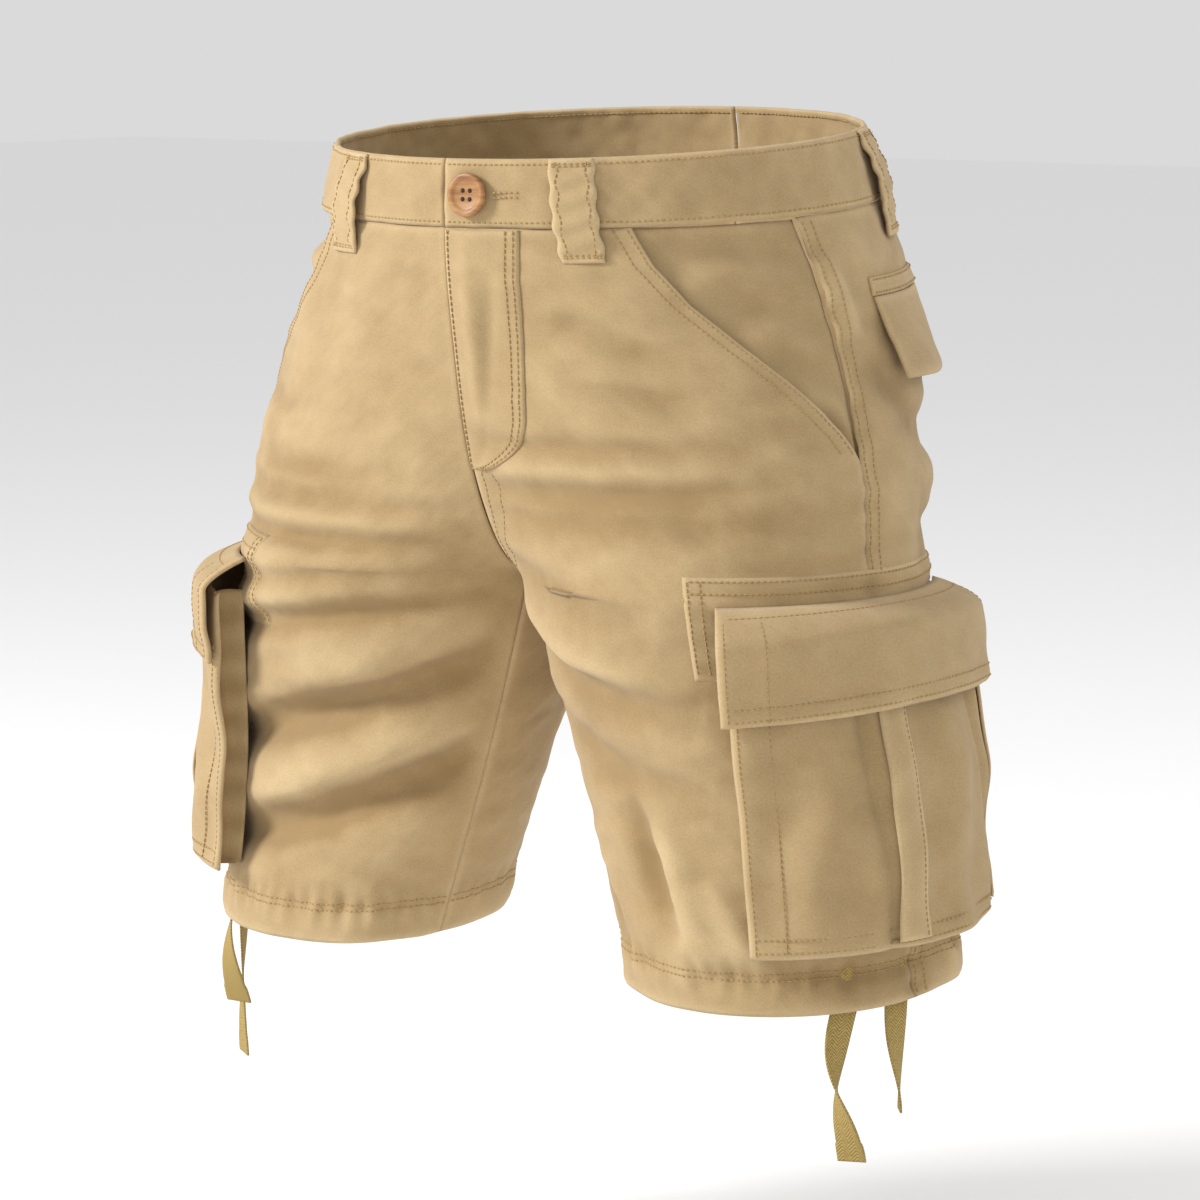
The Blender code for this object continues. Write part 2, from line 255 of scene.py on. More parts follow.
FOLDS_LEFT = [
    Crease(0.168, -0.26, 0.166, -0.05, 0.007, -0.0026), Crease(0.196, -0.28, 0.188, -0.04, 0.007, -0.0036),
    Crease(0.182, -0.27, 0.178, -0.06, 0.007, 0.0026), Crease(0.214, -0.28, 0.206, -0.03, 0.007, -0.0030),
    Crease(0.236, -0.29, 0.262, -0.13, 0.009, -0.0038),
    Crease(0.270, -0.28, 0.312, -0.11, 0.009, -0.0048, -0.008),
    Crease(0.258, -0.28, 0.296, -0.11, 0.008, 0.0034, -0.008),
    Crease(0.315, -0.27, 0.352, -0.11, 0.010, -0.0040, -0.008),
    Crease(0.360, -0.17, 0.440, -0.14, 0.008, -0.0060), Crease(0.370, -0.15, 0.452, -0.115, 0.010, 0.0050),
    Crease(0.380, -0.25, 0.455, -0.19, 0.010, -0.0035), Crease(0.400, -0.12, 0.462, -0.08, 0.008, 0.0036),
    Crease(0.090, -0.16, 0.118, -0.09, 0.006, -0.0020), Crease(0.130, -0.17, 0.142, -0.07, 0.006, -0.0018),
    Crease(0.060, 0.006, 0.110, 0.014, 0.006, 0.0034), Crease(0.115, 0.012, 0.160, 0.06, 0.008, -0.0026),
    Crease(0.450, -0.12, 0.458, 0.03, 0.007, -0.0030), Crease(0.446, 0.02, 0.470, 0.05, 0.007, 0.0025),
]
FOLDS_BACK = [
    Crease(0.150, 0.03, 0.200, 0.24, 0.009, -0.0040), Crease(0.180, 0.05, 0.225, 0.26, 0.009, 0.0035),
    Crease(0.215, 0.05, 0.245, 0.27, 0.010, -0.0055),
    Crease(0.262, 0.29, 0.300, 0.09, 0.010, -0.0050, 0.006),
    Crease(0.280, 0.30, 0.330, 0.10, 0.009, 0.0042, 0.006),
    Crease(0.320, 0.29, 0.385, 0.11, 0.011, -0.0058, 0.006),
    Crease(0.375, 0.26, 0.430, 0.11, 0.010, -0.0040), Crease(0.100, 0.24, 0.150, 0.27, 0.009, -0.0025),
    Crease(0.395, 0.20, 0.455, 0.24, 0.008, 0.0032), Crease(0.340, 0.16, 0.342, 0.26, 0.009, 0.0030),
]


def ripple(x: Array, y: Array, scale: float, seed: float) -> Array:
    """Smooth noise from -1 to 1 at many places, one lump each scale metres."""
    return np.array([noise.noise((a / scale, b / scale, seed)) for a, b in zip(x, y)]) * 1.6


def creases(side: int, drop: Array, turn: Array) -> Array:
    """How far all the folds, puckers and unevenness move the body cloth out."""
    run = run_at(drop, turn)
    lift = np.zeros_like(drop)
    for fold in (FOLDS_LEFT if side > 0 else FOLDS_RIGHT) + FOLDS_BACK:
        lift += fold.lift(drop, run)
    lumps, dimples = ripple(run, drop, 0.055, 3.0 + side), ripple(run, drop * 2.2, 0.024, 7.0 + side)
    lift += 0.0016 * lumps + 0.0008 * dimples
    hem = np.exp(-((drop - (HEM_DROP - HEM_SEWN)) / 0.010)**2)
    lift += hem * (0.0026 * ripple(run, drop * 0.3, 0.009, 11.0 + side) - 0.0014)
    lift += 0.0010 * smooth(drop, HEM_DROP - HEM_SEWN - 0.001, HEM_DROP - HEM_SEWN + 0.005)
    by_seam = np.exp(-(run / 0.007)**2)
    lift += by_seam * SEAM_PUCKER * (1.3 * ripple(run * 0.2, drop, 0.011, 17.0 + side) - 0.9)
    lift *= smooth(drop, BAND_DEPTH - 0.004, BAND_DEPTH + 0.020) * 0.92 + 0.08
    # both panels come back to the plain form where they meet, so no seam opens
    lift *= smooth(np.minimum(turn, 1 - turn), 0.0, 0.03)
    return lift


def surface(side: int, drop: Array, turn: Array, lift: Array | float = 0.0, creased: float = 1.0) -> Places:
    """Places on the creased cloth.

    Args:
        side: which half.
        drop: depths below the waist.
        turn: 0 at the centre front to 1 at the centre back.
        lift: how far out of the cloth.
        creased: the share of the folds that shows there.

    Returns:
        Points, outward normals and the share of fold, which the twill's colour turns into painted shade in
        troughs and paler ridges.
    """
    step = 0.002
    down = form(side, drop + step, turn) - form(side, drop - step, turn)
    round_ = form(side, drop, np.minimum(turn + step, 1)) - form(side, drop, np.maximum(turn - step, 0))
    normal = np.cross(down, round_) * side
    normal /= np.linalg.norm(normal, axis=1)[:, None] + 1e-12
    fold = creases(side, drop, turn) * creased if creased else np.zeros_like(drop)
    return form(side, drop, turn) + normal * (fold + lift)[:, None], normal, fold


def node_in(tree: bpy.types.NodeTree, kind: str, settings: Settings | None = None,
            links: Links | None = None) -> bpy.types.Node:
    """Add one node with its settings and its inputs.

    Args:
        tree: the material's node tree.
        kind: the node's type name.
        settings: its properties, and its inputs' values by name or number.
        links: sockets that feed its inputs, by name or number.

    Returns:
        The new node.
    """
    made = tree.nodes.new(kind)
    for key, value in (settings or {}).items():
        if isinstance(key, str) and hasattr(made, key):
            setattr(made, key, value)
        else:
            made.inputs[key].default_value = value
    for key, socket in (links or {}).items():
        tree.links.new(socket, made.inputs[key])
    return made


def linear(code: str) -> tuple[float, float, float, float]:
    """Turn an sRGB hex colour into linear light."""
    parts = [int(code[i:i + 2], 16) / 255 for i in (1, 3, 5)]
    return (*[c / 12.92 if c <= 0.04045 else ((c + 0.055) / 1.055)**2.4 for c in parts], 1.0)


@dataclass(frozen=True)
class TwillFinish:
    """Washed, garment-dyed cotton twill: matt, faintly fuzzy, paler where edges have rubbed, paler on fold
    ridges (partly rubbed wear, partly painted light) and darker in fold troughs as painted shade.
    """
    name: str = "cotton_twill_washed"
    pale: str = "#CCB58C"
    mid: str = "#B89F76"
    deep: str = "#967C54"
    blotch_scale: float = 38.0
    grit_scale: float = 900.0
    rib_scale: float = 50.0
    bump_mm: float = 0.16

    def make(self) -> bpy.types.Material:
        """Build the material."""
        made = bpy.data.materials.new(self.name)
        made.use_nodes = True
        tree = made.node_tree
        shader = tree.nodes["Principled BSDF"]
        shader.inputs["Roughness"].default_value = 0.92
        shader.inputs["Specular IOR Level"].default_value = 0.18
        shader.inputs["Sheen Weight"].default_value = 0.12
        shader.inputs["Sheen Roughness"].default_value = 0.6
        uv = node_in(tree, "ShaderNodeUVMap", {"uv_map": "cloth"})
        # this per-vertex value carries rubbed-edge wear, painted shade in fold troughs and partly painted
        # light on fold ridges
        wash = node_in(tree, "ShaderNodeAttribute", {"attribute_name": "wash"})
        blotch = node_in(tree, "ShaderNodeTexNoise",
                         {"Scale": self.blotch_scale, "Detail": 5.0, "Roughness": 0.65},
                         {"Vector": uv.outputs["UV"]})
        grit = node_in(tree, "ShaderNodeTexNoise", {"Scale": self.grit_scale, "Detail": 2.0},
                       {"Vector": uv.outputs["UV"]})
        blend = node_in(tree, "ShaderNodeMath", {"operation": "MULTIPLY_ADD", 1: 0.35},
                        {0: blotch.outputs["Fac"], 2: wash.outputs["Fac"]})
        speck = node_in(tree, "ShaderNodeMath", {"operation": "MULTIPLY_ADD", 1: 0.30},
                        {0: grit.outputs["Fac"], 2: blend.outputs[0]})
        ramp = node_in(tree, "ShaderNodeValToRGB", {}, {0: speck.outputs[0]})
        ramp.color_ramp.elements[0].position = 0.42
        ramp.color_ramp.elements[0].color = linear(self.deep)
        ramp.color_ramp.elements[1].position = 1.0
        ramp.color_ramp.elements[1].color = linear(self.pale)
        middle = ramp.color_ramp.elements.new(0.78)
        middle.color = linear(self.mid)
        tree.links.new(ramp.outputs["Color"], shader.inputs["Base Color"])
        # a rib scale of 50 puts the diagonal ribs about 9 mm apart, far coarser than the cloth's own
        ribs = node_in(tree, "ShaderNodeTexWave",
                       {"wave_type": "BANDS", "bands_direction": "DIAGONAL", "Scale": self.rib_scale,
                        "Distortion": 0.8, "Detail": 1.0, "Detail Scale": 1.5}, {"Vector": uv.outputs["UV"]})
        weave = node_in(tree, "ShaderNodeMath", {"operation": "MULTIPLY_ADD", 1: 0.5},
                        {0: grit.outputs["Fac"], 2: ribs.outputs["Fac"]})
        bump = node_in(tree, "ShaderNodeBump", {"Strength": 0.45, "Distance": self.bump_mm / 1000},
                       {"Height": weave.outputs[0]})
        tree.links.new(bump.outputs["Normal"], shader.inputs["Normal"])
        return made


@dataclass(frozen=True)
class PlainFinish:
    """A matt or satin material with a grain: sewing thread, cotton tape or turned wood."""
    name: str
    pale: str
    deep: str
    roughness: float
    grain_scale: float
    stretch: tuple[float, float, float] = (1.0, 1.0, 1.0)
    chevron_mm: float = 0.0
    chevron_half_m: float = 0.00375

    def make(self) -> bpy.types.Material:
        """Build the material."""
        made = bpy.data.materials.new(self.name)
        made.use_nodes = True
        tree = made.node_tree
        shader = tree.nodes["Principled BSDF"]
        shader.inputs["Roughness"].default_value = self.roughness
        if self.chevron_mm:
            uv = node_in(tree, "ShaderNodeUVMap", {"uv_map": "cloth"})
            place = uv.outputs["UV"]
        else:
            place = node_in(tree, "ShaderNodeTexCoord").outputs["Object"]
        turned = node_in(tree, "ShaderNodeMapping", {"Scale": self.stretch}, {"Vector": place})
        grain = node_in(tree, "ShaderNodeTexNoise", {"Scale": self.grain_scale, "Detail": 6.0},
                        {"Vector": turned.outputs["Vector"]})
        height = grain.outputs["Fac"]
        if self.chevron_mm:
            split = node_in(tree, "ShaderNodeSeparateXYZ", {}, {0: place})
            fold = node_in(tree, "ShaderNodeMath", {"operation": "PINGPONG", 1: self.chevron_half_m},
                           {0: split.outputs["X"]})
            slant = node_in(tree, "ShaderNodeMath", {"operation": "ADD"},
                            {0: fold.outputs[0], 1: split.outputs["Y"]})
            wave = node_in(tree, "ShaderNodeMath",
                           {"operation": "MULTIPLY", 1: 2 * pi * 1000 / self.chevron_mm},
                           {0: slant.outputs[0]})
            rib = node_in(tree, "ShaderNodeMath", {"operation": "SINE"}, {0: wave.outputs[0]})
            mixed = node_in(tree, "ShaderNodeMath", {"operation": "MULTIPLY_ADD", 1: 0.28},
                            {0: rib.outputs[0], 2: height})
            height = mixed.outputs[0]
        ramp = node_in(tree, "ShaderNodeValToRGB", {}, {0: height})
        ramp.color_ramp.elements[0].position = 0.3
        ramp.color_ramp.elements[0].color = linear(self.deep)
        ramp.color_ramp.elements[1].position = 0.75
        ramp.color_ramp.elements[1].color = linear(self.pale)
        tree.links.new(ramp.outputs["Color"], shader.inputs["Base Color"])
        bump = node_in(tree, "ShaderNodeBump", {"Strength": 0.5, "Distance": 0.0003}, {"Height": height})
        tree.links.new(bump.outputs["Normal"], shader.inputs["Normal"])
        return made


def solid(name: str, mesh_edit: bmesh.types.BMesh, dress: bpy.types.Material,
          wall: float = 0.0) -> bpy.types.Object:
    """Make a finished object at the origin from a bmesh.

    Args:
        name: its name.
        mesh_edit: its shape, which is freed.
        dress: its material.
        wall: the thickness that it gets inwards, or 0 for none.

    Returns:
        The object.
    """
    mesh = bpy.data.meshes.new(name)
    mesh_edit.to_mesh(mesh)
    mesh_edit.free()
    mesh.materials.append(dress)
    mesh.shade_smooth()
    made = bpy.data.objects.new(name, mesh)
    bpy.context.scene.collection.objects.link(made)
    if wall:
        thick = made.modifiers.new("wall", "SOLIDIFY")
        thick.thickness = wall
        thick.offset = -1.0
    return made


def sheet(name: str, place: Callable[[Array, Array], Placed], across: int, down: int,
          dress: bpy.types.Material, wall: float) -> bpy.types.Object:
    """Make a sheet of cloth.

    Args:
        name: the piece's name.
        place: gives points, normals, UV in metres and the colour value (rubbed wear plus painted shade and
            light) at u and v.
        across: how many faces across.
        down: how many faces down.
        dress: its material.
        wall: its thickness.

    Returns:
        The piece.
    """
    grid = bmesh.new()
    bmesh.ops.create_grid(grid, x_segments=across, y_segments=down, size=0.5)
    grid.verts.ensure_lookup_table()
    u = np.array([vert.co.x + 0.5 for vert in grid.verts])
    v = np.array([vert.co.y + 0.5 for vert in grid.verts])
    points, normals, uv, wash = place(u, v)
    layer = grid.loops.layers.uv.new("cloth")
    shade = grid.verts.layers.float.new("wash")
    for vert, point, value in zip(grid.verts, points, wash):
        vert.co = point
        vert[shade] = value
    grid.normal_update()
    grid.faces.ensure_lookup_table()
    first = grid.faces[len(grid.faces) // 2]
    if first.normal.dot(Vector(normals[first.verts[0].index])) < 0:
        bmesh.ops.reverse_faces(grid, faces=grid.faces[:])
    for face in grid.faces:
        for loop in face.loops:
            loop[layer].uv = uv[loop.vert.index]
    return solid(name, grid, dress, wall)


@dataclass
class Stitching:
    """Rows of lockstitch, each stitch a small rounded bar on the cloth."""
    pitch: float = 0.0034
    length: float = 0.0026
    radius: float = 0.00042
    corners: int = 6
    # a bar's rings: their place along it, their scale and their height, as shares of its length and radius
    rings: tuple[tuple[float, float, float], ...] = ((-0.5, 0.45, -0.3), (-0.3, 1.0, 0.3), (0.3, 1.0, 0.3),
                                                     (0.5, 0.45, -0.3))
    rows: list[tuple[Array, Array]] = field(default_factory=list)

    def add(self, points: Array, normals: Array) -> None:
        """Add a row along points."""
        self.rows.append((points, normals))

    def bar(self, middle: Array, way: Array, up: Array) -> list[Array]:
        """The corners of one stitch, ring by ring.

        Args:
            middle: its middle.
            way: its unit direction along the row.
            up: the cloth's outward direction.

        Returns:
            The corners.
        """
        wide, corners = np.cross(up, way), []
        for share, scale, height in self.rings:
            centre = middle + way * self.length * share + up * self.radius * height
            for k in range(self.corners):
                a = k * 2 * pi / self.corners
                corners.append(centre + (wide * cos(a) * 1.15 + up * sin(a)) * self.radius * scale)
        return corners

    def bar_faces(self, base: int) -> list[tuple[int, ...]]:
        """The faces of one stitch whose first corner has the number base."""
        n, last = self.corners, base + (len(self.rings) - 1) * self.corners
        faces: list[tuple[int, ...]] = []
        for ring in range(base, last, n):
            for k in range(n):
                a, b = ring + k, ring + (k + 1) % n
                faces.append((a, b, b + n, a + n))
        faces.append(tuple(base + k for k in reversed(range(n))))
        faces.append(tuple(last + k for k in range(n)))
        return faces

    def make(self, name: str, dress: bpy.types.Material) -> bpy.types.Object:
        """Build every row as one joined mesh."""
        verts: list[Array] = []
        faces: list[tuple[int, ...]] = []
        for points, normals in self.rows:
            run = np.concatenate([[0], np.cumsum(np.linalg.norm(np.diff(points, axis=0), axis=1))])
            for at in np.arange(self.pitch / 2, run[-1], self.pitch):
                start, middle, end = [np.array([np.interp(at + d, run, points[:, k]) for k in range(3)])
                                      for d in (-self.length / 2, 0, self.length / 2)]
                up = np.array([np.interp(at, run, normals[:, k]) for k in range(3)])
                way = end - start
                size = np.linalg.norm(way)
                if size > 1e-6:
                    faces += self.bar_faces(len(verts))
                    verts += self.bar(middle, way / size, up)
        mesh = bpy.data.meshes.new(name)
        mesh.from_pydata([tuple(p) for p in verts], [], faces)
        mesh_edit = bmesh.new()
        mesh_edit.from_mesh(mesh)
        bmesh.ops.recalc_face_normals(mesh_edit, faces=mesh_edit.faces[:])
        return solid(name, mesh_edit, dress)


@dataclass
class Shorts:
    """The whole garment: its finishes, its seams and its pieces."""
    twill: bpy.types.Material
    thread: bpy.types.Material
    wood: bpy.types.Material
    tape: bpy.types.Material
    dark: bpy.types.Material
    stitches: dict[str, Stitching] = field(default_factory=dict)

    def stitch(self, group: str, side: int, drop: Array, turn: Array, lift: Array | float,
               creased: float = 1.0) -> None:
        """Sew one row along places on the cloth.

        Args:
            group: the mesh that it is joined into.
            side: which half.
            drop: the row's depths below the waist.
            turn: the row's turns.
            lift: how far out of the cloth.
            creased: the share of the body's folds that it follows.
        """
        points, normals, _ = surface(side, drop, turn, lift, creased)
        self.stitches.setdefault(group, Stitching()).add(points, normals)

    def panel(self, name: str, side: int, start: Edge, end: Edge, drops: tuple[float, float],
              size: tuple[int, int], lift: Lift,
              wall: float = 0.0013, creased: float = 1.0, roll: float = 0.0006,
              stands_for: tuple[str, ...] = (), extra: float = 0.0) -> bpy.types.Object:
        """Args:
            name: the piece's name.
            side: which half.
            start: the turn of its front edge at each drop.
            end: the turn of its back edge.
            drops: its top and bottom.
            size: faces across and down.
            lift: how far out of the form at u and v.
            wall: thickness.
            creased: the share of the body's folds that it follows.
            roll: how far its edges roll in.
            stands_for: the CAD nodes that it replaces.
            extra: added to the colour value, paler when positive.

        Returns:
            The piece.
        """
        def place(u: Array, v: Array) -> Placed:
            """Points, normals, UV in metres and colour value, with the edges rolled in and paler, fold
            troughs darker as painted shade and fold ridges paler as partly painted light.
            """
            drop = drops[0] + (drops[1] - drops[0]) * v
            first, last = start(drop), end(drop)
            turn = first + (last - first) * u
            run = run_at(drop, turn)
            edge = np.minimum(np.minimum(u, 1 - u) * (run_at(drop, last) - run_at(drop, first)),
                              np.minimum(v, 1 - v) * (drops[1] - drops[0]))
            edge = np.abs(edge)
            out = lift(u, v) - roll * np.exp(-(edge / 0.0012)**2)
            points, normals, fold = surface(side, drop, turn, out, creased)
            # paler at the rubbed edges; fold depth adds painted shade in the troughs and partly painted light
            # on the ridges
            wash = 0.30 + 0.16 * np.exp(-(edge / 0.004)**2) + np.clip(fold * 38, -0.20, 0.16) + extra
            return points, normals, np.stack([run, -drop], -1), wash

        made = sheet(name, place, size[0], size[1], self.twill, wall)
        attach(made, "root")
        if stands_for:
            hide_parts(*stands_for)
        self.declare(made, start, end, drops)
        return made

    @staticmethod
    def declare(piece: bpy.types.Object, start: Edge, end: Edge, drops: tuple[float, float]) -> None:
        """Work out the size that a panel was cut to; the result is not kept or used.

        Args:
            piece: the panel.
            start: the turn of its front edge at each drop.
            end: the turn of its back edge.
            drops: its top and bottom.
        """
        levels = np.linspace(drops[0], drops[1], 40)
        widths = np.abs(run_at(levels, end(levels)) - run_at(levels, start(levels)))
        area = sum(face.area for face in piece.data.polygons)
        wide, long_ = max(float(widths.max()), LEAST_FLAT), max(drops[1] - drops[0], LEAST_FLAT)
        wide = max(wide * 1.04, area / long_ * 1.01)


def even(lift: float) -> Lift:
    """A piece that lies at one distance off the form all over."""
    return lambda u, v: np.full_like(u, lift)


def constant(turn: float) -> Edge:
    """An edge at one turn."""
    return lambda drop: np.full_like(drop, turn)


def beside_seam(distance: float) -> Edge:
    """An edge at one distance behind the side seam."""
    return lambda drop: turn_at(drop, np.full_like(drop, distance))


@dataclass(frozen=True)
class SlashRow:
    """One place on the slash pocket's opening: its depth and its distance behind the side seam."""
    drop: float
    run: float


SLASH = [SlashRow(0.040, -0.096), SlashRow(0.062, -0.092), SlashRow(0.085, -0.078), SlashRow(0.110, -0.055),
         SlashRow(0.135, -0.030), SlashRow(0.160, -0.009), SlashRow(0.175, 0.0)]


def slash_run(drop: Array) -> Array:
    """The distance of the slash pocket's opening from the side seam."""
    return np.interp(drop, [row.drop for row in SLASH], [row.run for row in SLASH])


def slash_edge(drop: Array) -> Array:
    """The front panel's back edge: the slash, then the side seam."""
    return np.minimum(turn_at(drop, slash_run(drop)), SIDE_SEAM - EDGE)


def centre_run(drop: Array) -> Array:
    """The distance of the centre front from the side seam."""
    return run_at(drop, np.zeros_like(drop))


@dataclass(frozen=True)
class Body:
    """One half's front, pocket facing, back and waistband, with the stitching of their seams."""
    side: int
    tag: str
    top: float = BAND_DEPTH + 0.0003
    facing_bottom: float = 0.172
    facing_tuck: float = 0.012
    facing_sunk: float = 0.0042
    band_inside: float = 0.0034
    fly_foot: float = 0.186
    front_fork: float = 0.248
    back_fork: float = 0.245
    band_rows: tuple[float, float] = (0.0035, BAND_DEPTH - 0.0030)
    hem_rows: tuple[float, float] = (HEM_DROP - 0.019, HEM_DROP - 0.0225)
    side_rows: tuple[float, float] = (0.0028, 0.0085)
    slash_rows: tuple[float, float] = (0.003, 0.011)
    centre_rows: tuple[float, float] = (0.006, 0.014)

    def facing_edge(self, drop: Array) -> Array:
        """The facing's front edge, tucked in behind the slash."""
        return turn_at(drop, slash_run(drop) - self.facing_tuck)

    def wrinkled(self, u: Array, v: Array) -> Array:
        """How far the facing lies off the form, inwards, with its short cross wrinkles."""
        rows = np.sin(v * 24 + 2.2 * u + 1.5 * np.sin(u * 4)) * 0.0030 * np.sin(pi * np.clip(u * 1.02, 0, 1))
        return -self.facing_sunk + rows - 0.0016 * np.sin(pi * u)

    def band(self, u: Array, v: Array) -> Array:
        """How far the waistband stands proud, with its waviness."""
        wave = 0.0008 * np.sin(u * 60 + self.side) * np.sin(u * 23)
        wave = wave + 0.0007 * ripple(u * 0.47, v * BAND_DEPTH, 0.011, 41.0 + self.side)
        return 0.0010 + wave + 0.0006 * np.sin(pi * v)

    def build(self, shorts: Shorts) -> None:
        """Build the four panels, then sew them."""
        side, tag = self.side, self.tag
        shorts.panel(f"front_panel_{tag}", side, constant(EDGE), slash_edge, (self.top, HEM_DROP), (110, 190),
                     even(0.0), stands_for=(f"front_{tag}",))
        shorts.panel(f"back_panel_{tag}", side, constant(SIDE_SEAM + EDGE), constant(1 - EDGE),
                     (self.top, HEM_DROP), (120, 190), even(0.0), stands_for=(f"back_{tag}",))
        shorts.panel(f"pocket_facing_{tag}", side, self.facing_edge, constant(SIDE_SEAM - EDGE),
                     (self.top, self.facing_bottom), (60, 80), self.wrinkled, creased=0.25,
                     stands_for=(f"facing_{tag}",))
        shorts.panel(f"waistband_{tag}_cloth", side, constant(0.0001), constant(0.9999), (0.0, BAND_DEPTH),
                     (240, 18), self.band, wall=0.0026, creased=0.0, roll=0.0010,
                     stands_for=(f"waistband_{tag}",))
        self.sew(shorts)

    def sew(self, shorts: Shorts) -> None:
        """Stitch the waistband inside and out, the hem, the seams and the slash."""
        side = self.side
        whole = np.linspace(0.004, 0.996, 260)
        for drop in self.band_rows:
            level = np.full_like(whole, drop)
            lift = self.band(whole, level / BAND_DEPTH)
            shorts.stitch("band", side, level, whole, lift, 0.0)
            shorts.stitch("band", side, level, whole, lift - self.band_inside, 0.0)
        for drop in self.hem_rows:
            shorts.stitch("hems", side, np.full_like(whole, drop), whole, 0.0)
        levels = np.linspace(BAND_DEPTH + 0.003, HEM_DROP - 0.001, 200)
        for distance in self.side_rows:
            shorts.stitch("seams", side, levels, turn_at(levels, np.full_like(levels, distance)), 0.0)
        slash = np.linspace(BAND_DEPTH + 0.001, self.facing_bottom, 120)
        for inset in self.slash_rows:
            shorts.stitch("slash", side, slash, turn_at(slash, slash_run(slash) - inset), 0.0)
        # the front's turn spans about 0.45 m a unit and the back's 0.55 m
        if side > 0:
            rise = np.linspace(self.fly_foot, self.front_fork, 60)
            for inset in self.centre_rows:
                shorts.stitch("seams", side, rise, np.full_like(rise, inset / 0.45), 0.0)
        seat = np.linspace(BAND_DEPTH + 0.003, self.back_fork, 120)
        for inset in self.centre_rows:
            shorts.stitch("seams", side, seat, np.full_like(seat, 1 - inset / 0.55), 0.0)


@dataclass(frozen=True)
class Fly:
    """The lapped fly with its J of stitching."""
    wide: float = 0.047
    gap: float = 0.003
    top: float = BAND_DEPTH + 0.001
    bottom: float = 0.1848
    curve_top: float = 0.149
    curve_depth: float = 0.036
    rows: tuple[float, float] = (0.0005, 0.0055)

    def width(self, drop: Array) -> Array:
        """The lap's width, which rounds off at the foot of the J."""
        into = np.clip((drop - self.curve_top) / self.curve_depth, 0, 0.995)
        return self.wide * np.sqrt(1 - into**2)

    def end(self, drop: Array) -> Array:
        """The turn of the lap's curved edge."""
        return turn_at(drop, centre_run(drop) + self.width(drop) + self.gap)

    def folded(self, u: Array, v: Array) -> Array:
        """How far the lap stands proud, with one long ridge and a trough beside it."""
        ridge = 0.0032 * np.exp(-((u - 0.30 - 0.10 * v) / 0.14)**2) * np.sin(pi * np.clip(v * 1.1, 0, 1))
        trough = -0.0016 * np.exp(-((u - 0.70 + 0.35 * v) / 0.10)**2) * np.sin(pi * np.clip(v, 0, 1))
        return 0.0018 + ridge + trough

    def build(self, shorts: Shorts) -> None:
        """Build the lap, then sew its curve and its straight edge."""
        shorts.panel("fly_lap", 1, constant(0.0004), self.end, (self.top, self.bottom), (26, 90), self.folded,
                     wall=0.0015, roll=0.0012, stands_for=("fly_flap",))
        drop = np.linspace(self.top, self.bottom - 0.001, 140)
        for inset in self.rows:
            run = centre_run(drop) + np.maximum(self.width(drop) - inset, 0.001)
            shorts.stitch("fly", 1, drop, turn_at(drop, run), 0.0020)
        edge = np.linspace(self.top, 0.184, 80)
        shorts.stitch("fly", 1, edge, turn_at(edge, centre_run(edge) + self.gap), 0.0022)


